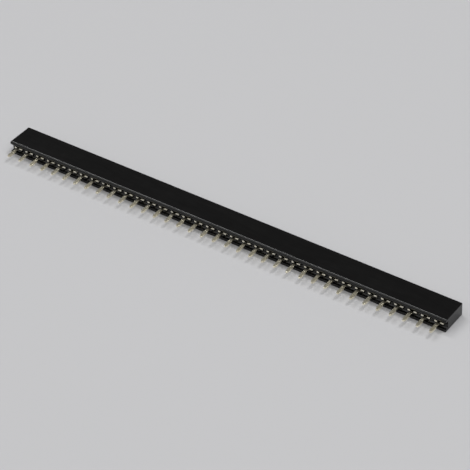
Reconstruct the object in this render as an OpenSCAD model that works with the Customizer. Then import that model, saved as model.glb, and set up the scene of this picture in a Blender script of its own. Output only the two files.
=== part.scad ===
// Female pin header strip, single row, low profile, with straight solder tails.
// One moulded housing holds one stamped contact at each position.
// The strip lies on its long side: +X runs along the row, +Y towards the mating face
// where the pins enter, -Y towards the circuit board, and +Z up.
// The origin is the middle of the whole strip in X and Y, on the surface it lies on.

/* [Strip] */
// Number of contact positions
positions = 36; // [2:1:50]
// Distance between neighbouring contacts
pitch = 2.54; // [2.1:0.001:5.08]
// Height of the housing, from its seating plane to its mating face
body_h = 5.33; // [4.4:0.001:8.5]
// Thickness of the housing, across the row
body_t = 2.54; // [2.1:0.001:5]
// Plastic past the last half pitch, at each end
end_extra = 0.25; // [0.1:0.01:2]

/* [Housing] */
// Height of the two rails that stand on the circuit board
rail_h = 0.7; // [0.3:0.01:0.8]
// Thickness of each rail
rail_t = 0.54; // [0.45:0.01:0.6]
// Radius of the housing's outer edges
edge_r = 0.12; // [0.02:0.01:0.2]
// Radius of the upper rail's long outer edge
nose_r = 0.42; // [0.2:0.01:0.45]
// Thickness of the two long walls beside the contact chambers
wall_t = 0.62; // [0.6:0.01:0.8]
// Depth of the groove in each chamber wall that holds an edge of the contact
groove_d = 0.1; // [0.05:0.01:0.2]
// Thickness of the wall at the mating face
roof_t = 0.9; // [0.6:0.01:1.2]
// Width of the square hole that a pin enters through
entry_w = 0.84; // [0.7:0.01:1]
// How far the funnel flares out of the hole on each side
funnel_flare = 0.26; // [0.1:0.01:0.35]
// Depth of the funnel
funnel_d = 0.45; // [0.2:0.01:0.55]

/* [Contact] */
// Thickness of the stamped sheet
sheet_t = 0.3; // [0.15:0.01:0.4]
// Width of the solder tail
tail_w = 0.6; // [0.4:0.01:0.8]
// Length of the solder tail, past the seating plane
tail_l = 2.5; // [1.8:0.01:4]
// How far the tail narrows on each side at its tip
tip_taper = 0.15; // [0.05:0.01:0.18]
// Length over which the tail narrows to its tip
tip_l = 0.4; // [0.2:0.01:0.8]
// How far each shoulder stands past the groove
shoulder_step = 0.05; // [0.03:0.01:0.15]
// Length of the shoulders
shoulder_l = 0.6; // [0.5:0.01:0.8]
// Depth of the shoulders' front edge behind the seating plane
shoulder_inset = 0.35; // [0.2:0.01:0.4]
// Radius in the corners between the tail and the shoulders
root_r = 0.1; // [0.04:0.01:0.15]
// Width of the blade behind the shoulders
blade_w = 1.5; // [1.3:0.01:1.8]
// Length of the blade, up to where the two tines start
blade_l = 0.9; // [0.7:0.01:1]
// Gap between the two tines
tine_gap = 0.72; // [0.66:0.01:0.8]
// Width of a tine at its tip
tine_tip_w = 0.28; // [0.2:0.01:0.32]
// Height of the bump on each tine that grips a pin
bump_h = 0.1; // [0.05:0.01:0.15]
// Radius of a bump
bump_r = 0.3; // [0.2:0.01:0.4]
// Distance of the bumps from the tines' tips
bump_setback = 0.5; // [0.4:0.01:0.8]
// Length of a barb that wedges the blade in its groove
barb_l = 0.35; // [0.2:0.01:0.5]
// How far a barb stands out of the blade's edge
barb_h = 0.05; // [0.03:0.005:0.05]

/* [Clearances] */
// Gap between the sheet and each face of its groove
groove_clear = 0.02; // [0.01:0.005:0.05]
// Gap between the shoulders and each end of their pocket
shoulder_clear = 0.03; // [0.01:0.005:0.08]
// Gap between the tines' tips and the mating wall
tip_clear = 0.12; // [0.05:0.01:0.3]

/* [Hidden] */
function contact_name(i) = str("contact_", i < 10 ? "0" : "", i);
$fn = 48;

black_plastic = [0.10, 0.10, 0.11];
pale_gold = [0.86, 0.79, 0.58];

// Overrun of a cut past the face that it opens
over = 0.1;
// Straight stretches in each arc of a contact's outline
arc_steps = 8;
strip_l = positions * pitch + 2 * end_extra;
mid_z = body_t / 2;
// Y of the seating plane; y below is measured from there towards the mating face
seat_y = (tail_l - body_h) / 2;
shoulder_end = shoulder_inset + shoulder_l;
blade_end = shoulder_end + blade_l;
roof_y = body_h - roof_t;
tine_end = roof_y - tip_clear;
groove_w = blade_w + 2 * barb_h;
groove_t = sheet_t + 2 * groove_clear;
chamber_w = groove_w - 2 * groove_d;
chamber_t = body_t - 2 * wall_t;
shoulder_w = groove_w + 2 * shoulder_step;
pocket_w = shoulder_w + 2 * shoulder_clear;

function contact_x(i) = (i - (positions + 1) / 2) * pitch;

// Rectangle on the origin's middle, with rounded corners
module rounded_rect(w, h, r) {
    square([w - 2 * r, h], center = true);
    square([w, h - 2 * r], center = true);
    for (sx = [-1, 1], sy = [-1, 1])
        translate([sx * (w / 2 - r), sy * (h / 2 - r)]) circle(r);
}

// Box centred in X and Z that runs from y0 to y1
module box_between(w, t, y0, y1) {
    translate([-w / 2, y0, -t / 2]) cube([w, y1 - y0, t]);
}

// The housing's outside, with every edge rounded alike
module housing_block() {
    translate([0, body_h / 2, mid_z]) intersection() {
        linear_extrude(body_t, center = true) rounded_rect(strip_l, body_h, edge_r);
        rotate([90, 0, 0]) linear_extrude(body_h, center = true)
            rounded_rect(strip_l, body_t, edge_r);
        rotate([90, 0, 90]) linear_extrude(strip_l, center = true)
            rounded_rect(body_h, body_t, edge_r);
    }
}

// Corner that the larger rounding takes off the upper rail, along the whole strip
module nose_corner() {
    translate([0, 0, body_t]) rotate([90, 0, 90])
        linear_extrude(strip_l + 2 * over, center = true) difference() {
            translate([-over, -nose_r]) square(nose_r + over);
            translate([nose_r, -nose_r]) circle(nose_r);
        }
}

// Channel between the two rails, open at both ends of the strip
module board_channel() {
    translate([0, 0, mid_z])
        box_between(strip_l + 2 * over, body_t - 2 * rail_t, -over, rail_h);
}

// Wedge that opens from the entry hole to the mouth of the funnel
module funnel_wedge(depth) {
    mouth = entry_w / 2 + funnel_flare * (1 + over / funnel_d);
    linear_extrude(depth, center = true) polygon([
        [-entry_w / 2, body_h - funnel_d],
        [entry_w / 2, body_h - funnel_d],
        [mouth, body_h + over],
        [-mouth, body_h + over]
    ]);
}

// Everything that is open at one position: chamber, sheet groove, pocket, entry, funnel
module socket_space() {
    box_between(chamber_w, chamber_t, rail_h - over, roof_y);
    box_between(groove_w, groove_t, rail_h - over, roof_y);
    box_between(pocket_w, groove_t, rail_h - over, shoulder_end);
    box_between(entry_w, entry_w, roof_y - over, body_h);
    intersection() {
        funnel_wedge(pitch);
        rotate([0, 90, 0]) funnel_wedge(pitch);
    }
}

module housing() {
    color(black_plastic) translate([0, seat_y, 0]) difference() {
        housing_block();
        nose_corner();
        board_channel();
        for (i = [1:positions])
            translate([contact_x(i), 0, mid_z]) socket_space();
    }
}

// Points along an arc round [cx, cy], from one angle to another
function arc(cx, cy, r, from, to) = [
    for (k = [0:arc_steps])
        let (angle = from + (to - from) * k / arc_steps)
        [cx + r * cos(angle), cy + r * sin(angle)]
];

// A right half's points, followed by their mirror images in backward order
function with_left_half(right) = concat(
    right,
    [for (k = [len(right) - 1:-1:0]) if (right[k][0] > 0) [-right[k][0], right[k][1]]]
);

// Solder tail from its tip, and the rounded corner that leads into the shoulder
function tail_side() = concat(
    [
        [tail_w / 2 - tip_taper, -tail_l],
        [tail_w / 2, -tail_l + tip_l]
    ],
    arc(tail_w / 2 + root_r, shoulder_inset - root_r, root_r, 180, 90)
);

// Shoulder that stops the contact in its pocket
function shoulder_side() = [
    [shoulder_w / 2, shoulder_inset],
    [shoulder_w / 2, shoulder_end]
];

// Edge of the blade with its barb, square towards the board and sloping towards the tines
function blade_side() = let (barb_y = shoulder_end + (blade_l - barb_l) / 2) [
    [blade_w / 2, shoulder_end],
    [blade_w / 2, barb_y],
    [groove_w / 2, barb_y],
    [groove_w / 2, barb_y + barb_l / 2],
    [blade_w / 2, barb_y + barb_l],
    [blade_w / 2, blade_end]
];

// Spring tine round its tip, then down past the bump to the round bottom of the gap
function tine_side() = let (
    inner = tine_gap / 2,
    bump_angle = acos(1 - bump_h / bump_r)
) concat(
    [
        [inner + tine_tip_w, tine_end],
        [inner, tine_end]
    ],
    arc(inner - bump_h + bump_r, tine_end - bump_setback, bump_r, 180 - bump_angle, 180 + bump_angle),
    arc(0, blade_end, inner, 0, -90)
);

// One contact, stamped flat from sheet, at position i
module contact(i) {
    right_half = concat(tail_side(), shoulder_side(), blade_side(), tine_side());
    color(pale_gold) translate([contact_x(i), seat_y, mid_z])
        linear_extrude(sheet_t, center = true) polygon(with_left_half(right_half));
}

housing();
for (i = [1:positions])
    contact(i);
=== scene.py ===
from math import acos, cos, degrees, pi, radians, sin
from types import SimpleNamespace

import bmesh
import bpy
from bpy.props import FloatProperty, FloatVectorProperty, IntProperty
from mathutils import Matrix, Vector


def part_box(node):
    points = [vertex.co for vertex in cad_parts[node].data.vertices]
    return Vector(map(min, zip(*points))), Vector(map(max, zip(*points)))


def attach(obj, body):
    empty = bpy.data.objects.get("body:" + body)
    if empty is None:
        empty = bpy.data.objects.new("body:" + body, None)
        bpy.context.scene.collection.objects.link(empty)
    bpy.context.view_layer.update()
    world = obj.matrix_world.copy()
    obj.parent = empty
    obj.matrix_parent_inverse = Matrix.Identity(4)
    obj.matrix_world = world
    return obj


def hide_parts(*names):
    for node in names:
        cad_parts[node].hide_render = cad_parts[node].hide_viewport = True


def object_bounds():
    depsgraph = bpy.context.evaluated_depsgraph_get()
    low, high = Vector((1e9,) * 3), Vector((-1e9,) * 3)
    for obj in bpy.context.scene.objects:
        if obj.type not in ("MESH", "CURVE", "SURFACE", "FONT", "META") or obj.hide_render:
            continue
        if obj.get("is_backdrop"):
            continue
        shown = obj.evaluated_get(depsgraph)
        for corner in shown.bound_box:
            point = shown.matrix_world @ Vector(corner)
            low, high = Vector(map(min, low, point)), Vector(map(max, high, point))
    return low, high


bl_info = {
    "name": "Female Pin Header Strip",
    "version": (1, 0, 0),
    "blender": (4, 5, 0),
    "location": "3D View > Sidebar > Header Strip",
    "description": "Builds a single-row female pin header strip and the stage that it lies on",
    "category": "Add Mesh",
}

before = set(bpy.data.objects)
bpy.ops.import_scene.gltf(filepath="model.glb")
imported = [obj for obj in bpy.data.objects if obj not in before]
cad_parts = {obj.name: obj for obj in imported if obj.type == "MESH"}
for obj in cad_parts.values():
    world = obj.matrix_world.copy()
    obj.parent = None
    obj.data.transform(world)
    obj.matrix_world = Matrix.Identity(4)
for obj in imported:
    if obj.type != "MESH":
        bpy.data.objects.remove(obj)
CAD_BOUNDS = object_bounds()

# Lengths are stored in metres and drawn in millimetres, where bevels and merges are exact
MM = 0.001
BODY = "root"
HOUSING_NODE = "housing"
CONTACT_NODES = sorted(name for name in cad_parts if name.startswith("contact_"))

# The sizes that the frame gives
HOUSING_LOW, HOUSING_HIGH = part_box(HOUSING_NODE)
CONTACT_LOW, CONTACT_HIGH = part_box(CONTACT_NODES[0])
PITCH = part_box(CONTACT_NODES[1])[0].x - CONTACT_LOW.x
HOUSING_SIZE = HOUSING_HIGH - HOUSING_LOW
CONTACT_SIZE = CONTACT_HIGH - CONTACT_LOW
SEAT_Y = HOUSING_LOW.y
MID_Z = (HOUSING_LOW.z + HOUSING_HIGH.z) / 2

# Points closer than this are one point, in millimetres
SAME = 1e-3
# Edges that fold by more than this are rounded
SHARP_FOLD = radians(25)
# Stretches in a rounded edge of the housing, in one of a contact, and in a contact's arcs
HOUSING_STEPS = 6
CONTACT_STEPS = 3
ARC_STEPS = 8


# Properties

def length(name, millimetres, description):
    """A length property, whose default is given in millimetres."""
    return FloatProperty(name=name, description=description, default=millimetres * MM,
                         min=0, unit="LENGTH", precision=5)


def angle(name, turn, description):
    """An angle property, whose default is given in degrees."""
    return FloatProperty(name=name, description=description, default=radians(turn),
                         unit="ROTATION")


def share(name, default, description):
    """A property from 0 to 1."""
    return FloatProperty(name=name, description=description, default=default,
                         min=0, max=1, subtype="FACTOR")


def colour(name, default, description):
    """A colour property, in linear red, green and blue."""
    return FloatVectorProperty(name=name, description=description, default=default,
                               size=3, min=0, max=1, subtype="COLOR")


class HousingSettings(bpy.types.PropertyGroup):
    positions: IntProperty(name="Positions", description="Number of contact positions",
                           default=len(CONTACT_NODES), min=2)
    pitch: length("Pitch", PITCH / MM, "Distance between neighbouring contacts")
    row: length("Row length", HOUSING_SIZE.x / MM, "Length of the housing")
    height: length("Height", HOUSING_SIZE.y / MM, "From the seating plane to the mating face")
    thickness: length("Thickness", HOUSING_SIZE.z / MM, "Thickness across the row")
    rail_height: length("Rail height", 0.7, "Height of the two rails on the board side")
    rail: length("Rail", 0.54, "Thickness of each rail")
    wall: length("Wall", 0.62, "Thickness of the long walls beside the chambers")
    groove: length("Groove", 0.1, "Depth of the groove that holds an edge of the contact")
    roof: length("Roof", 0.9, "Thickness of the wall at the mating face")
    entry: length("Entry", 0.84, "Width of the square hole for a pin")
    flare: length("Flare", 0.26, "How far the funnel opens out on each side of the hole")
    funnel: length("Funnel", 0.45, "Depth of the funnel")
    sheet_gap: length("Sheet gap", 0.02, "Gap between the contact and each face of its groove")
    pocket_gap: length("Pocket gap", 0.03, "Gap at each end of the contact's shoulders")
    edge: length("Outer edge", 0.12, "Radius of the housing's outer edges")
    nose: length("Rail nose", 0.42, "Radius of the upper rail's long outer edge")
    fine_edge: length("Inner edge", 0.03, "Radius of the edges round the openings")


class ContactSettings(bpy.types.PropertyGroup):
    sheet: length("Sheet", CONTACT_SIZE.z / MM, "Thickness of the stamped sheet")
    shoulder: length("Shoulders", CONTACT_SIZE.x / MM, "Width across the shoulders")
    tail_length: length("Tail length", (SEAT_Y - CONTACT_LOW.y) / MM, "Past the seating plane")
    tine_end: length("Tine end", (CONTACT_HIGH.y - SEAT_Y) / MM, "Seating plane to tine tips")
    tail: length("Tail", 0.6, "Width of the solder tail")
    taper: length("Taper", 0.15, "How far the tail narrows on each side at its tip")
    tip: length("Tip", 0.4, "Length over which the tail narrows")
    root: length("Root radius", 0.1, "Radius between the tail and the shoulders")
    inset: length("Inset", 0.35, "Depth of the shoulders' front edge behind the seating plane")
    shoulder_length: length("Shoulder length", 0.6, "Length of the shoulders")
    blade: length("Blade", 1.5, "Width of the blade behind the shoulders")
    blade_length: length("Blade length", 0.9, "Length of the blade, up to the tines")
    barb: length("Barb", 0.05, "How far a barb stands out of the blade's edge")
    barb_length: length("Barb length", 0.35, "Length of a barb")
    tine_gap: length("Tine gap", 0.72, "Gap between the two tines")
    tine_tip: length("Tine tip", 0.28, "Width of a tine at its tip")
    bump: length("Bump", 0.1, "Height of the bump that grips a pin")
    bump_radius: length("Bump radius", 0.3, "Radius of a bump")
    bump_setback: length("Bump setback", 0.5, "Distance of the bumps from the tine tips")
    rolled_edge: length("Rolled edge", 0.12, "Radius of the upper edges behind the tail")
    burr_edge: length("Burr edge", 0.015, "Radius of the tail's edges and of the lower edges")
    lean: angle("Lean", 0.9, "Most that a tail leans out of line")
    seed: IntProperty(name="Seed", description="Seed of the contacts' small differences",
                      default=7)


class PlasticSettings(bpy.types.PropertyGroup):
    colour: colour("Colour", (0.0034, 0.0033, 0.0033), "Black of the moulded plastic")
    pale: colour("Pale flow", (0.0052, 0.0050, 0.0049), "Colour of its palest flow marks")
    gloss: share("Roughness", 0.16, "Roughness of the moulded skin")
    gloss_range: share("Roughness range", 0.08, "How much the roughness varies")
    grain: length("Grain", 0.05, "Size of the mould's grain")
    grain_depth: length("Grain depth", 0.0012, "Depth of the mould's grain")
    streak: length("Streak", 0.35, "Width of the flow streaks, which run along the row")
    flow: share("Flow", 0.6, "Strength of the flow streaks")
    cloud: share("Cloud", 0.4, "Strength of the wide clouds between them")
    sink: share("Sink", 0.05, "Strength of the faint bands over the chambers")
    index: FloatProperty(name="Index", description="Refractive index of the plastic",
                         default=1.43, min=1)


class PlatingSettings(bpy.types.PropertyGroup):
    colour: colour("Colour", (0.97, 0.94, 0.83), "Pale gold of the plating")
    dull: colour("Dull", (0.86, 0.79, 0.58), "Its colour in dull patches and on the tails")
    patch_dullness: share("Patch dullness", 0.3, "How dull the dull patches are")
    tone_dullness: share("Tone dullness", 0.2, "How much duller some contacts are than others")
    tail_dullness: share("Tail dullness", 0.5, "How much duller the solder tails are")
    gloss: share("Roughness", 0.18, "Roughness of the plating")
    gloss_range: share("Roughness range", 0.04, "How much the roughness varies")
    streak_wear: share("Streak wear", 0.6, "Part of that range that the streaks take")
    tone_wear: share("Tone wear", 0.4, "Part of it that differs between contacts")
    tail_wear: share("Tail wear", 0.06, "How much rougher the solder tails are")
    tip_wear: share("Tip wear", 0.055, "How much rougher still they grow towards their tips")
    cut_shine: share("Cut shine", 0.12, "How much smoother the cut edges of the sheet are")
    streak: length("Streak", 0.04, "Width of the rolling streaks along the sheet")
    streak_depth: length("Streak depth", 0.0004, "Depth of the rolling streaks")


class StageSettings(bpy.types.PropertyGroup):
    floor: colour("Floor", (0.545, 0.545, 0.556), "Colour of the floor")
    floor_gloss: share("Floor roughness", 0.85, "Roughness of the floor")
    floor_specular: share("Floor specular", 0.15, "Strength of the floor's reflections")
    floor_size: length("Floor size", 6000, "Width of the floor")
    wall: share("Wall", 0.5, "Brightness of the room near the horizon")
    room: share("Room", 0.10, "Brightness of the room above that")
    wall_top: angle("Wall top", 16, "Elevation at which the room turns dark")
    panel_height: length("Panel height", 800, "Height of the broad panel over the floor")
    panel_width: length("Panel width", 1900, "Size of the panel along the row")
    panel_depth: length("Panel depth", 1600, "Size of the panel across the row")
    panel_shift: length("Panel shift", 400, "How far the panel stands towards the board side")
    panel_level: share("Panel level", 0.575, "Share of full light that it gives the floor")
    key_azimuth: angle("Key azimuth", 135, "Side that the key lamp stands on")
    key_elevation: angle("Key elevation", 65, "Height angle of the key lamp")
    lamp_distance: length("Lamp distance", 800, "Distance of the key lamp and the rim lamp")
    key_size: length("Key size", 150, "Width of the key lamp")
    key_level: share("Key level", 0.2, "Share of full light that it gives the floor")
    rim_azimuth: angle("Rim azimuth", -118, "Side that the rim lamp stands on")
    rim_elevation: angle("Rim elevation", 59, "Height angle of the rim lamp")
    rim_turn: angle("Rim turn", -32, "Turn that lays the rim lamp along the row")
    rim_width: length("Rim width", 60, "Width of the rim lamp")
    rim_length: length("Rim length", 320, "Length of the rim lamp")
    rim_level: share("Rim level", 0.125, "Share of full light that it gives the floor")
    azimuth: angle("Azimuth", 36.729, "The camera's turn, from the board side")
    elevation: angle("Elevation", 38.750, "The camera's height angle")
    roll: angle("Roll", 2.641, "The camera's roll")
    distance: length("Distance", 345.86, "Distance from the camera to its target")
    target: FloatVectorProperty(name="Target", description="Point that the camera looks at",
                                default=(3.500 * MM, -0.354 * MM, MID_Z), unit="LENGTH")
    lens: FloatProperty(name="Lens", description="Focal length", default=154.01,
                        unit="CAMERA")


def in_millimetres(settings):
    """The settings' lengths in millimetres, and their other values as they are."""
    values = {}
    for item in settings.bl_rna.properties:
        if item.identifier in ("rna_type", "name"):
            continue
        value = getattr(settings, item.identifier)
        values[item.identifier] = value / MM if item.unit == "LENGTH" else value
    return SimpleNamespace(**values)


# Nodes

def add_node(tree, kind, options=None, inputs=None):
    """Adds a node. An input goes by its name or number, and is given a value, or the output
    socket that feeds it."""
    node = tree.nodes.new(kind)
    for name, value in (options or {}).items():
        setattr(node, name, value)
    for name, value in (inputs or {}).items():
        if isinstance(value, bpy.types.NodeSocket):
            tree.links.new(value, node.inputs[name])
        else:
            node.inputs[name].default_value = value
    return node


def math_node(tree, operation, *values):
    """Output of a Math node."""
    return add_node(tree, "ShaderNodeMath", {"operation": operation},
                    dict(enumerate(values))).outputs[0]


def axis_of(tree, vector, axis):
    """One axis of a vector."""
    return add_node(tree, "ShaderNodeSeparateXYZ", inputs={"Vector": vector}).outputs[axis]


def new_geometry_tree(name, sockets):
    """A Geometry Nodes tree with a geometry input and output, and the named inputs."""
    tree = bpy.data.node_groups.new(name, "GeometryNodeTree")
    tree.interface.new_socket("Geometry", in_out="INPUT", socket_type="NodeSocketGeometry")
    for socket, kind in sockets.items():
        tree.interface.new_socket(socket, in_out="INPUT", socket_type=kind)
    tree.interface.new_socket("Geometry", in_out="OUTPUT", socket_type="NodeSocketGeometry")
    return tree, tree.nodes.new("NodeGroupInput").outputs


def finish_geometry_tree(tree, geometry, material):
    """Ends a tree: its instances are made real and take the material."""
    real = add_node(tree, "GeometryNodeRealizeInstances", inputs={"Geometry": geometry})
    painted = add_node(tree, "GeometryNodeSetMaterial",
                       inputs={"Geometry": real.outputs[0], "Material": material})
    add_node(tree, "NodeGroupOutput", inputs={"Geometry": painted.outputs[0]})


def row_of_points(tree, count, pitch):
    """Points along X, a pitch apart and centred on the origin."""
    span = math_node(tree, "MULTIPLY", math_node(tree, "SUBTRACT", count, 1.0), pitch)
    start = add_node(tree, "ShaderNodeCombineXYZ",
                     inputs={"X": math_node(tree, "MULTIPLY", span, -0.5)})
    step = add_node(tree, "ShaderNodeCombineXYZ", inputs={"X": pitch})
    return add_node(tree, "GeometryNodeMeshLine", {"mode": "OFFSET"}, {
        "Count": count, "Start Location": start.outputs[0], "Offset": step.outputs[0],
    }).outputs[0]


def add_geometry_modifier(piece, tree, values):
    """Puts a tree on a piece, and sets its named inputs by their identifiers."""
    modifier = piece.modifiers.new(tree.name, "NODES")
    modifier.node_group = tree
    for item in tree.interface.items_tree:
        if item.in_out == "INPUT" and item.name in values:
            modifier[item.identifier] = values[item.name]


# Meshes

def new_piece(name, bm):
    """An object in the scene that takes the mesh that was drawn in bm."""
    mesh = bpy.data.meshes.new(name)
    bm.to_mesh(mesh)
    bm.free()
    piece = bpy.data.objects.new(name, mesh)
    bpy.context.scene.collection.objects.link(piece)
    return piece


def remove_piece(piece):
    """Removes an object that was only drawn to be repeated."""
    bpy.data.meshes.remove(piece.data)


def apply_modifiers(piece):
    """Turns what the piece's modifiers give into its plain mesh, and removes them."""
    bpy.context.view_layer.update()
    evaluated = piece.evaluated_get(bpy.context.evaluated_depsgraph_get())
    mesh = bpy.data.meshes.new_from_object(evaluated)
    piece.modifiers.clear()
    drawn = piece.data
    piece.data = mesh
    bpy.data.meshes.remove(drawn)
    mesh.name = piece.name


def add_face(bm, points):
    """Adds a face through the points, with vertices of its own."""
    return bm.faces.new([bm.verts.new(point) for point in points])


def weld(bm):
    """Joins the faces where they meet."""
    bmesh.ops.remove_doubles(bm, verts=bm.verts, dist=SAME)


def round_edges(piece, radius, segments, edge_share):
    """Rounds each edge to the share of the radius that edge_share(edge) gives."""
    bm = bmesh.new()
    bm.from_mesh(piece.data)
    bmesh.ops.recalc_face_normals(bm, faces=bm.faces)
    weights = bm.edges.layers.float.new("bevel_weight_edge")
    for edge in bm.edges:
        edge[weights] = edge_share(edge)
    for face in bm.faces:
        face.smooth = True
    bm.to_mesh(piece.data)
    bm.free()
    modifier = piece.modifiers.new("Rounding", "BEVEL")
    modifier.limit_method = "WEIGHT"
    modifier.width = radius
    modifier.segments = segments
    modifier.use_clamp_overlap = False
    modifier.harden_normals = True
    apply_modifiers(piece)


def place_in_frame(piece):
    """Moves the mesh from the strip's own millimetres to its place in the frame."""
    place = Matrix.Translation((0, SEAT_Y, MID_Z)) @ Matrix.Scale(MM, 4)
    piece.data.transform(place)


# Housing. It is drawn with X along the row, Y up from the seating plane, and Z from its middle.

def square_loop(y, half_x, half_z):
    """A rectangle round the socket's axis, as four sides."""
    corners = [(-half_x, y, half_z), (half_x, y, half_z),
               (half_x, y, -half_z), (-half_x, y, -half_z)]
    return [[corners[k], corners[(k + 1) % 4]] for k in range(4)]


def socket_loop(size, y, reaches):
    """The chamber's rectangle with the slot for the sheet, as four sides.
    The slot reaches out to each of the given distances from the axis."""
    x, z = size.chamber_x, size.chamber_z
    right = [(x, y, z)]
    right += [(reach, y, size.slot_z) for reach in (x, *reaches)]
    right += [(reach, y, -size.slot_z) for reach in (*reversed(reaches), x)]
    right += [(x, y, -z)]
    left = [(-px, py, -pz) for px, py, pz in right]
    return [[left[-1], right[0]], right, [right[-1], left[0]], left]


def bridge(bm, near, far):
    """Joins two loops side by side: with quads, or with one face where their points differ."""
    for a, b in zip(near, far):
        if len(a) == len(b):
            for k in range(len(a) - 1):
                add_face(bm, (a[k], a[k + 1], b[k + 1], b[k]))
        else:
            add_face(bm, (*a, *reversed(b)))


def housing_profile(size):
    """Corners of the housing's section in Y and Z, from the channel's floor round to it."""
    half, rail, height = size.thickness / 2, size.rail_z, size.height
    return [(size.rail_height, rail), (0, rail), (0, half), (height, half),
            (height, -half), (0, -half), (0, -rail), (size.rail_height, -rail)]


def add_skin(bm, profile, x0, x1, skipped=()):
    """Adds the flat strips between the profile's corners, from x0 to x1."""
    for k, (y, z) in enumerate(profile):
        if k not in skipped:
            next_y, next_z = profile[(k + 1) % len(profile)]
            add_face(bm, ((x0, y, z), (x1, y, z), (x1, next_y, next_z), (x0, next_y, next_z)))


def socket_loops(size):
    """The loops that the socket steps through, from the mating face to the pocket's depth."""
    half_pitch, half_entry = size.pitch / 2, size.entry / 2
    roof_y = size.height - size.roof
    return [
        square_loop(size.height, half_pitch, size.thickness / 2),
        square_loop(size.height, size.mouth_x, size.mouth_x),
        square_loop(size.height - size.funnel, half_entry, half_entry),
        square_loop(roof_y, half_entry, half_entry),
        socket_loop(size, roof_y, (size.groove_x,)),
        socket_loop(size, size.pocket_y, (size.groove_x,)),
    ]


def add_pocket(bm, size):
    """Adds the pocket for the contact's shoulders, and the channel's floor round it."""
    groove, pocket = size.groove_x, size.pocket_x
    pocket_floor = socket_loop(size, size.pocket_y, (groove, pocket))
    pocket_mouth = socket_loop(size, size.rail_height, (groove, pocket))
    for side in (-1, 1):
        ledge = [(groove, side), (groove, -side), (pocket, -side), (pocket, side)]
        add_face(bm, [(side * x, size.pocket_y, z * size.slot_z) for x, z in ledge])
    bridge(bm, pocket_floor, pocket_mouth)
    bridge(bm, pocket_mouth, square_loop(size.rail_height, size.pitch / 2, size.rail_z))


def draw_housing_cell(size):
    """One pitch of the housing, with its socket from the mating face to the channel."""
    bm = bmesh.new()
    mating_side, channel_side = 3, 7
    add_skin(bm, housing_profile(size), -size.pitch / 2, size.pitch / 2,
             (mating_side, channel_side))
    loops = socket_loops(size)
    for near, far in zip(loops, loops[1:]):
        bridge(bm, near, far)
    add_pocket(bm, size)
    weld(bm)
    return new_piece("housing_cell", bm)


def draw_housing_end(size):
    """The plain plastic past the last half pitch, closed with the end face."""
    bm = bmesh.new()
    profile = housing_profile(size)
    add_skin(bm, profile, 0, size.end)
    add_face(bm, [(size.end, y, z) for y, z in reversed(profile)])
    weld(bm)
    return new_piece("housing_end", bm)


def join_ends(tree, row, end, half_row):
    """Joins the end to each side of the row, turned half round on the left."""
    for turn, side in ((0, 1), (pi, -1)):
        place = add_node(tree, "ShaderNodeCombineXYZ",
                         inputs={"X": math_node(tree, "MULTIPLY", half_row, float(side))})
        placed = add_node(tree, "GeometryNodeTransform", inputs={
            "Geometry": end, "Translation": place.outputs[0], "Rotation": (0, turn, 0),
        })
        tree.links.new(placed.outputs[0], row.inputs[0])


def housing_tree():
    """Repeats the cell along the row, and closes the row with an end at each side."""
    tree, inputs = new_geometry_tree("HousingRow", {
        "Positions": "NodeSocketInt", "Pitch": "NodeSocketFloat",
        "End": "NodeSocketObject", "Weld Distance": "NodeSocketFloat",
        "Material": "NodeSocketMaterial",
    })
    points = row_of_points(tree, inputs["Positions"], inputs["Pitch"])
    cells = add_node(tree, "GeometryNodeInstanceOnPoints",
                     inputs={"Points": points, "Instance": inputs["Geometry"]})
    row = add_node(tree, "GeometryNodeJoinGeometry", inputs={"Geometry": cells.outputs[0]})
    end = add_node(tree, "GeometryNodeObjectInfo", inputs={"Object": inputs["End"]})
    half_row = math_node(tree, "MULTIPLY", inputs["Positions"],
                         math_node(tree, "MULTIPLY", inputs["Pitch"], 0.5))
    join_ends(tree, row, end.outputs["Geometry"], half_row)
    real = add_node(tree, "GeometryNodeRealizeInstances", inputs={"Geometry": row.outputs[0]})
    welded = add_node(tree, "GeometryNodeMergeByDistance", inputs={
        "Geometry": real.outputs[0], "Distance": inputs["Weld Distance"],
    })
    finish_geometry_tree(tree, welded.outputs[0], inputs["Material"])
    return tree


def housing_sizes(settings, contact):
    """The housing's lengths, with those that follow from them and from the contact's."""
    size = in_millimetres(settings)
    size.rail_z = size.thickness / 2 - size.rail
    size.groove_x = contact.blade / 2 + contact.barb
    size.chamber_x = size.groove_x - size.groove
    size.chamber_z = size.thickness / 2 - size.wall
    size.slot_z = contact.sheet / 2 + size.sheet_gap
    size.pocket_x = contact.shoulder / 2 + size.pocket_gap
    size.pocket_y = contact.inset + contact.shoulder_length
    size.mouth_x = size.entry / 2 + size.flare
    size.end = (size.row - size.positions * size.pitch) / 2
    return size


def housing_edge_share(size):
    """Says how far each edge of the housing is rounded: most at the upper rail's nose,
    less at the other outer edges, and finely at the openings."""
    outside = Vector((size.row / 2, size.height / 2, size.thickness / 2))
    middle = Vector((0, size.height / 2, 0))
    plain, fine = size.edge / size.nose, size.fine_edge / size.nose

    def is_outside(face):
        """Whether the face lies on the plain block that the housing is cut from."""
        away = face.calc_center_median() - middle
        axis = max(range(3), key=lambda k: abs(face.normal[k]))
        return abs(abs(away[axis]) - outside[axis]) < SAME

    def edge_share(edge):
        if len(edge.link_faces) != 2 or edge.calc_face_angle_signed() < SHARP_FOLD:
            return 0
        if not all(is_outside(face) for face in edge.link_faces):
            return fine
        corners = [vertex.co for vertex in edge.verts]
        on_nose = all(co.y < SAME and co.z > outside.z - SAME for co in corners)
        return 1 if on_nose else plain

    return edge_share


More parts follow.
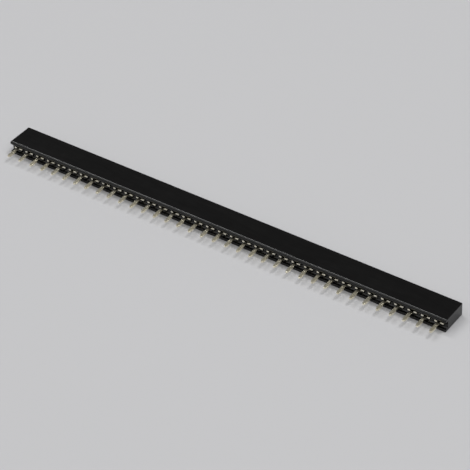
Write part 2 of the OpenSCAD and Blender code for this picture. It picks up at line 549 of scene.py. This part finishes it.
class STRIP_OT_moulded_housing(bpy.types.Operator):
    """Builds the moulded housing around the contacts' positions"""

    bl_idname = "strip.moulded_housing"
    bl_label = "Moulded Housing"

    def execute(self, context):
        scene = context.scene
        contact = in_millimetres(scene.strip_contacts)
        size = housing_sizes(scene.strip_housing, contact)
        piece = draw_housing_cell(size)
        piece.name = "moulded_housing"
        end = draw_housing_end(size)
        add_geometry_modifier(piece, housing_tree(), {
            "Positions": size.positions, "Pitch": size.pitch, "End": end,
            "Weld Distance": SAME, "Material": plastic_material(scene.strip_plastic, size),
        })
        apply_modifiers(piece)
        remove_piece(end)
        round_edges(piece, size.nose, HOUSING_STEPS, housing_edge_share(size))
        place_in_frame(piece)
        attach(piece, BODY)
        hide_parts(HOUSING_NODE)
        return {"FINISHED"}


# Contacts. They are drawn flat, with Y up from the seating plane and Z from the sheet's middle.

def arc(x, y, radius, start, end):
    """Points along an arc round (x, y), from one angle to another, in degrees."""
    angles = [radians(start + (end - start) * k / ARC_STEPS) for k in range(ARC_STEPS + 1)]
    return [(x + radius * cos(a), y + radius * sin(a)) for a in angles]


def contact_right_side(size):
    """The right half of a contact's outline, from the tail's tip round to the tines' gap."""
    tail, root = size.tail / 2, size.root
    tail_end = -size.tail_length
    shoulder_end = size.inset + size.shoulder_length
    blade, blade_end = size.blade / 2, shoulder_end + size.blade_length
    barb_y = shoulder_end + (size.blade_length - size.barb_length) / 2
    gap = size.tine_gap / 2
    rise = degrees(acos(1 - size.bump / size.bump_radius))
    return [
        (tail - size.taper, tail_end),
        (tail, tail_end + size.tip),
        *arc(tail + root, size.inset - root, root, 180, 90),
        (size.shoulder / 2, size.inset),
        (size.shoulder / 2, shoulder_end),
        (blade, shoulder_end),
        (blade, barb_y),
        (blade + size.barb, barb_y),
        (blade + size.barb, barb_y + size.barb_length / 2),
        (blade, barb_y + size.barb_length),
        (blade, blade_end),
        (gap + size.tine_tip, size.tine_end),
        (gap, size.tine_end),
        *arc(gap - size.bump + size.bump_radius, size.tine_end - size.bump_setback,
             size.bump_radius, 180 - rise, 180 + rise),
        *arc(0, blade_end, gap, 0, -90),
    ]


def contact_edge_share(size):
    """Says how far each edge of a contact is rounded: most on the upper side behind the
    tail, and by the burr's radius elsewhere."""
    burr = size.burr_edge / size.rolled_edge

    def edge_share(edge):
        if edge.calc_face_angle() < SHARP_FOLD:
            return 0
        low = min(vertex.co.z for vertex in edge.verts)
        on_tail = min(vertex.co.y for vertex in edge.verts) < size.inset - SAME
        return 1 if low > 0 and not on_tail else burr

    return edge_share


def draw_contact(size):
    """One contact, stamped flat from the sheet, with its punched edges rounded."""
    right = contact_right_side(size)
    left = [(-x, y) for x, y in reversed(right) if x > 0]
    outline = right + left
    half = size.sheet / 2
    bm = bmesh.new()
    face = add_face(bm, [(x, y, half) for x, y in outline])
    pushed = bmesh.ops.extrude_face_region(bm, geom=[face], use_keep_orig=True)
    lower = [v for v in pushed["geom"] if isinstance(v, bmesh.types.BMVert)]
    bmesh.ops.translate(bm, verts=lower, vec=(0, 0, -size.sheet))
    piece = new_piece("stamped_contacts", bm)
    round_edges(piece, size.rolled_edge, CONTACT_STEPS, contact_edge_share(size))
    return piece


def store_random(tree, geometry, name, low, high, seed):
    """Gives each instance a random number under the name, from low to high."""
    random = add_node(tree, "FunctionNodeRandomValue", {"data_type": "FLOAT"},
                      {2: low, 3: high, "Seed": seed})
    return add_node(tree, "GeometryNodeStoreNamedAttribute",
                    {"domain": "INSTANCE", "data_type": "FLOAT"},
                    {"Geometry": geometry, "Name": name, "Value": random.outputs[1]}).outputs[0]


def lean_offset(tree, root):
    """How far each point moves as its tail leans from the root."""
    y = axis_of(tree, add_node(tree, "GeometryNodeInputPosition").outputs[0], "Y")
    along = math_node(tree, "MINIMUM", math_node(tree, "SUBTRACT", y, root), 0.0)
    shifts = {}
    for axis, name in (("X", "lean_x"), ("Z", "lean_z")):
        lean = add_node(tree, "GeometryNodeInputNamedAttribute", {"data_type": "FLOAT"},
                        {"Name": name}).outputs["Attribute"]
        shifts[axis] = math_node(tree, "MULTIPLY", along, lean)
    return add_node(tree, "ShaderNodeCombineXYZ", inputs=shifts).outputs[0]


def contact_tree():
    """Repeats the contact along the row, and leans each tail a little from its root."""
    tree, inputs = new_geometry_tree("ContactRow", {
        "Positions": "NodeSocketInt", "Pitch": "NodeSocketFloat", "Lean": "NodeSocketFloat",
        "Tail Root": "NodeSocketFloat", "Seed": "NodeSocketInt",
        "Material": "NodeSocketMaterial",
    })
    points = row_of_points(tree, inputs["Positions"], inputs["Pitch"])
    placed = add_node(tree, "GeometryNodeInstanceOnPoints",
                      inputs={"Points": points, "Instance": inputs["Geometry"]}).outputs[0]
    most = inputs["Lean"]
    least = math_node(tree, "MULTIPLY", most, -1.0)
    for k, (name, low, high) in enumerate((("lean_x", least, most), ("lean_z", least, most),
                                           ("tone", 0.0, 1.0))):
        seed = math_node(tree, "ADD", inputs["Seed"], float(k))
        placed = store_random(tree, placed, name, low, high, seed)
    real = add_node(tree, "GeometryNodeRealizeInstances", inputs={"Geometry": placed})
    leaning = add_node(tree, "GeometryNodeSetPosition", inputs={
        "Geometry": real.outputs[0], "Offset": lean_offset(tree, inputs["Tail Root"]),
    })
    finish_geometry_tree(tree, leaning.outputs[0], inputs["Material"])
    return tree


class STRIP_OT_stamped_contacts(bpy.types.Operator):
    """Builds the row of stamped contacts, with a solder tail on each"""

    bl_idname = "strip.stamped_contacts"
    bl_label = "Stamped Contacts"

    def execute(self, context):
        scene = context.scene
        size = in_millimetres(scene.strip_contacts)
        housing = in_millimetres(scene.strip_housing)
        piece = draw_contact(size)
        add_geometry_modifier(piece, contact_tree(), {
            "Positions": housing.positions, "Pitch": housing.pitch, "Lean": size.lean,
            "Tail Root": size.inset, "Seed": size.seed,
            "Material": plating_material(scene.strip_plating),
        })
        apply_modifiers(piece)
        place_in_frame(piece)
        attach(piece, BODY)
        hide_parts(*CONTACT_NODES)
        return {"FINISHED"}


# Materials. Patterns are laid out in object coordinates, in metres.

# What most noise stays within, and what soft noise stays within
NOISE_RANGE = (0.3, 0.7)
SOFT_RANGE = (0.35, 0.65)
# How far each pattern's features reach along X, Y and Z, in widths of the material's streaks
FLOW_SHAPE = (12, 1, 1)
CLOUD_SHAPE = (20, 5, 5)
ROLLED_SHAPE = (1, 15, 1)
PATCH_SHAPE = (8, 8, 8)
# Between these distances from the seating plane, the tail's finish gives way to the blade's
TAIL_FADE = (-0.1 * MM, 0.2 * MM)
# A face is a cut edge if its normal's Z is under the first, and flat if it is over the second
CUT_FADE = (0.3, 0.6)


def new_material(name):
    """A material with its node tree and its Principled shader."""
    material = bpy.data.materials.new(name)
    material.use_nodes = True
    tree = material.node_tree
    return material, tree, tree.nodes["Principled BSDF"]


def object_place(tree):
    """The object coordinates, which patterns are laid on."""
    return add_node(tree, "ShaderNodeTexCoord").outputs["Object"]


def bump_surface(tree, shader, height, distance):
    """Raises the surface by the height times the distance."""
    bump = add_node(tree, "ShaderNodeBump", inputs={
        "Strength": 1.0, "Distance": distance, "Height": height,
    })
    tree.links.new(bump.outputs[0], shader.inputs["Normal"])


def noise(tree, place, width, shape=(1, 1, 1), detail=2.0):
    """Noise from 0 to 1, whose features reach that many widths along X, Y and Z."""
    scaled = add_node(tree, "ShaderNodeMapping", inputs={
        "Vector": place, "Scale": [1 / (reach * width) for reach in shape],
    })
    return add_node(tree, "ShaderNodeTexNoise", inputs={
        "Vector": scaled.outputs[0], "Scale": 1.0, "Detail": detail,
    }).outputs["Fac"]


def spread(tree, value, low, high, to_low=0.0, to_high=1.0):
    """Maps low..high to to_low..to_high, clamped."""
    return add_node(tree, "ShaderNodeMapRange", inputs={
        "Value": value, "From Min": low, "From Max": high, "To Min": to_low, "To Max": to_high,
    }).outputs[0]


def roughness_for(tree, settings, value):
    """The roughness for a value from 0 to 1, within the range that the settings give."""
    half_range = settings.gloss_range / 2
    return spread(tree, value, 0.0, 1.0, settings.gloss - half_range,
                  settings.gloss + half_range)


def blend_colours(tree, factor, low, high):
    """Mixes two colours."""
    return add_node(tree, "ShaderNodeMix", {"data_type": "RGBA"},
                    {0: factor, 6: with_alpha(low), 7: with_alpha(high)}).outputs[2]


def with_alpha(rgb):
    """An opaque colour."""
    return (*rgb, 1.0)


def plastic_material(settings, size):
    """Black moulded plastic: mould grain, flow streaks along the row, faint sink bands."""
    material, tree, shader = new_material("moulded_plastic")
    place = object_place(tree)
    flow = noise(tree, place, settings.streak, FLOW_SHAPE, detail=4.0)
    cloud = noise(tree, place, settings.streak, CLOUD_SHAPE)
    phase = math_node(tree, "MULTIPLY", axis_of(tree, place, "X"), 2 * pi / (size.pitch * MM))
    bands = math_node(tree, "MULTIPLY", math_node(tree, "SINE", phase), settings.sink)
    mottle = math_node(tree, "ADD", spread(tree, flow, *NOISE_RANGE, 0.0, settings.flow),
                       spread(tree, cloud, *SOFT_RANGE, 0.0, settings.cloud))
    tone = math_node(tree, "ADD", mottle, bands)
    tree.links.new(blend_colours(tree, tone, settings.colour, settings.pale),
                   shader.inputs["Base Color"])
    tree.links.new(roughness_for(tree, settings, tone), shader.inputs["Roughness"])
    bump_surface(tree, shader, noise(tree, place, settings.grain, detail=3.0),
                 settings.grain_depth)
    shader.inputs["IOR"].default_value = settings.index
    return material


def plating_dullness(tree, settings, place, tone, on_tail):
    """How dull the plating is: in patches, by each contact's tone, and on the tails."""
    patches = noise(tree, place, settings.streak, PATCH_SHAPE)
    mottle = math_node(tree, "ADD",
                       spread(tree, patches, *SOFT_RANGE, 0.0, settings.patch_dullness),
                       math_node(tree, "MULTIPLY", tone, settings.tone_dullness))
    return math_node(tree, "ADD", mottle,
                     math_node(tree, "MULTIPLY", on_tail, settings.tail_dullness))


def plating_wear(tree, settings, y, on_tail):
    """What is added to the plating's roughness: more on the tails and towards their tips,
    and less on the sheet's cut edges, which face sideways."""
    worn = math_node(tree, "ADD", math_node(tree, "MULTIPLY", on_tail, settings.tail_wear),
                     spread(tree, y, CONTACT_LOW.y, SEAT_Y, settings.tip_wear, 0.0))
    facing = add_node(tree, "ShaderNodeNewGeometry").outputs["Normal"]
    upright = math_node(tree, "ABSOLUTE", axis_of(tree, facing, "Z"))
    cut = spread(tree, upright, *CUT_FADE, -settings.cut_shine, 0.0)
    return math_node(tree, "ADD", worn, cut)


def plating_material(settings):
    """Pale gold plating on rolled sheet: streaks along the contact, a tone for each one."""
    material, tree, shader = new_material("gold_plating")
    place = object_place(tree)
    y = axis_of(tree, place, "Y")
    on_tail = spread(tree, y, SEAT_Y + TAIL_FADE[0], SEAT_Y + TAIL_FADE[1], 1.0, 0.0)
    tone = add_node(tree, "ShaderNodeAttribute", {"attribute_name": "tone"}).outputs["Fac"]
    dullness = plating_dullness(tree, settings, place, tone, on_tail)
    tree.links.new(blend_colours(tree, dullness, settings.colour, settings.dull),
                   shader.inputs["Base Color"])
    rolled = noise(tree, place, settings.streak, ROLLED_SHAPE, detail=3.0)
    varied = math_node(tree, "ADD",
                       spread(tree, rolled, *NOISE_RANGE, 0.0, settings.streak_wear),
                       math_node(tree, "MULTIPLY", tone, settings.tone_wear))
    roughness = math_node(tree, "ADD", roughness_for(tree, settings, varied),
                          plating_wear(tree, settings, y, on_tail))
    tree.links.new(roughness, shader.inputs["Roughness"])
    bump_surface(tree, shader, rolled, settings.streak_depth)
    shader.inputs["Metallic"].default_value = 1.0
    return material


def floor_material(settings):
    """Plain matt floor."""
    material, _, shader = new_material("pale_floor")
    shader.inputs["Base Color"].default_value = with_alpha(settings.floor)
    shader.inputs["Roughness"].default_value = settings.floor_gloss
    shader.inputs["Specular IOR Level"].default_value = settings.floor_specular
    return material


# Stage

# Points along each side of a lamp where its light on the floor is added up
LAMP_GRID = 24
# Part of the wall's height over which its light fades, below and above its top
ROOM_FADE = 0.5


def direction(azimuth, elevation):
    """Unit vector towards a place in the sky. Azimuth 0 is on the board side, 90 at +X."""
    return Vector((sin(azimuth) * cos(elevation), -cos(azimuth) * cos(elevation),
                   sin(elevation)))


def turned_to(azimuth, elevation, roll=0.0):
    """Rotation of a camera or lamp that stands in that direction and looks back from it."""
    return (Matrix.Rotation(azimuth, 4, "Z") @ Matrix.Rotation(pi / 2 - elevation, 4, "X")
            @ Matrix.Rotation(-roll, 4, "Z"))


def add_floor(settings):
    """The plain floor that the strip lies on."""
    bm = bmesh.new()
    bmesh.ops.create_grid(bm, x_segments=1, y_segments=1, size=settings.floor_size / 2)
    floor = new_piece("floor", bm)
    floor.data.materials.append(floor_material(settings))
    floor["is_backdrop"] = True


def floor_light(matrix, width, depth):
    """Light at the origin of the floor, from a lamp of one watt that stands at the matrix."""
    facing = matrix.to_3x3() @ Vector((0, 0, -1))
    steps = [(k + 0.5) / LAMP_GRID - 0.5 for k in range(LAMP_GRID)]
    total = 0
    for x in steps:
        for y in steps:
            place = matrix @ Vector((x * width, y * depth, 0))
            total += place.z * facing.dot(-place) / place.length ** 4
    return total / (LAMP_GRID ** 2 * pi)


def add_lamp(name, matrix, width, depth, level):
    """A flat lamp that gives the floor the level, as a share of full light."""
    data = bpy.data.lights.new(name, "AREA")
    data.shape = "RECTANGLE"
    data.size = width
    data.size_y = depth
    data.energy = level * pi / floor_light(matrix, width, depth)
    lamp = bpy.data.objects.new(name, data)
    lamp.matrix_world = matrix
    bpy.context.scene.collection.objects.link(lamp)


def add_lamps(settings):
    """A broad panel overhead, a key lamp for faint shadows, and a rim lamp for the edges."""
    panel = Matrix.Translation((0, -settings.panel_shift, settings.panel_height))
    add_lamp("soft_panel", panel, settings.panel_width, settings.panel_depth,
             settings.panel_level)
    for name, azimuth, elevation, turn, width, depth, level in (
            ("key_lamp", settings.key_azimuth, settings.key_elevation, 0.0,
             settings.key_size, settings.key_size, settings.key_level),
            ("rim_lamp", settings.rim_azimuth, settings.rim_elevation, settings.rim_turn,
             settings.rim_width, settings.rim_length, settings.rim_level)):
        place = Matrix.Translation(direction(azimuth, elevation) * settings.lamp_distance)
        add_lamp(name, place @ turned_to(azimuth, elevation, turn), width, depth, level)


def add_room(settings):
    """The room round the stage: pale near the horizon and dark above."""
    world = bpy.data.worlds.new("room")
    world.use_nodes = True
    tree = world.node_tree
    place = add_node(tree, "ShaderNodeTexCoord").outputs["Generated"]
    top = sin(settings.wall_top)
    level = spread(tree, axis_of(tree, place, "Z"), (1 - ROOM_FADE) * top,
                   (1 + ROOM_FADE) * top, settings.wall, settings.room)
    tree.links.new(level, tree.nodes["Background"].inputs["Strength"])
    tree.nodes["Background"].inputs["Color"].default_value = (1, 1, 1, 1)
    bpy.context.scene.world = world


def add_camera(settings):
    """The camera, which looks at its target from the board side."""
    data = bpy.data.cameras.new("camera")
    data.lens = settings.lens
    camera = bpy.data.objects.new("camera", data)
    place = Vector(settings.target) + direction(
        settings.azimuth, settings.elevation) * settings.distance
    camera.matrix_world = Matrix.Translation(place) @ turned_to(
        settings.azimuth, settings.elevation, settings.roll)
    bpy.context.scene.collection.objects.link(camera)
    bpy.context.scene.camera = camera


class STRIP_OT_stage(bpy.types.Operator):
    """Builds the floor, the light, the room and the camera"""

    bl_idname = "strip.stage"
    bl_label = "Stage"

    def execute(self, context):
        settings = context.scene.strip_stage
        add_floor(settings)
        add_lamps(settings)
        add_room(settings)
        add_camera(settings)
        context.scene.view_settings.view_transform = "Standard"
        return {"FINISHED"}


class STRIP_PT_panel(bpy.types.Panel):
    """Lists the pieces of the strip"""

    bl_idname = "STRIP_PT_panel"
    bl_label = "Header Strip"
    bl_space_type = "VIEW_3D"
    bl_region_type = "UI"
    bl_category = "Header Strip"

    def draw(self, context):
        for operator, settings in PARTS:
            self.layout.operator(operator.bl_idname)
            for name in settings:
                group = getattr(context.scene, name)
                box = self.layout.box()
                for item in group.bl_rna.properties:
                    if item.identifier not in ("rna_type", "name"):
                        box.prop(group, item.identifier)


# The settings by their names on the scene, and the operators with the settings listed under each
SETTINGS = {
    "strip_housing": HousingSettings,
    "strip_contacts": ContactSettings,
    "strip_plastic": PlasticSettings,
    "strip_plating": PlatingSettings,
    "strip_stage": StageSettings,
}
PARTS = (
    (STRIP_OT_stage, ("strip_stage",)),
    (STRIP_OT_moulded_housing, ("strip_housing", "strip_plastic")),
    (STRIP_OT_stamped_contacts, ("strip_contacts", "strip_plating")),
)
CLASSES = (*SETTINGS.values(), *(operator for operator, _ in PARTS), STRIP_PT_panel)


def register():
    """Registers the classes, and puts the settings on the scene."""
    for cls in CLASSES:
        bpy.utils.register_class(cls)
    for name, group in SETTINGS.items():
        setattr(bpy.types.Scene, name, bpy.props.PointerProperty(type=group))


def unregister():
    """Takes the settings off the scene, and unregisters the classes."""
    for name in SETTINGS:
        delattr(bpy.types.Scene, name)
    for cls in reversed(CLASSES):
        bpy.utils.unregister_class(cls)


def main():
    """Builds the stage and the strip."""
    register()
    bpy.ops.strip.stage()
    bpy.ops.strip.moulded_housing()
    bpy.ops.strip.stamped_contacts()
    boxes = {"cad": CAD_BOUNDS, "visual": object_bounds()}
    {name: [list(corner) for corner in box] for name, box in boxes.items()}


if __name__ == "__main__":
    main()
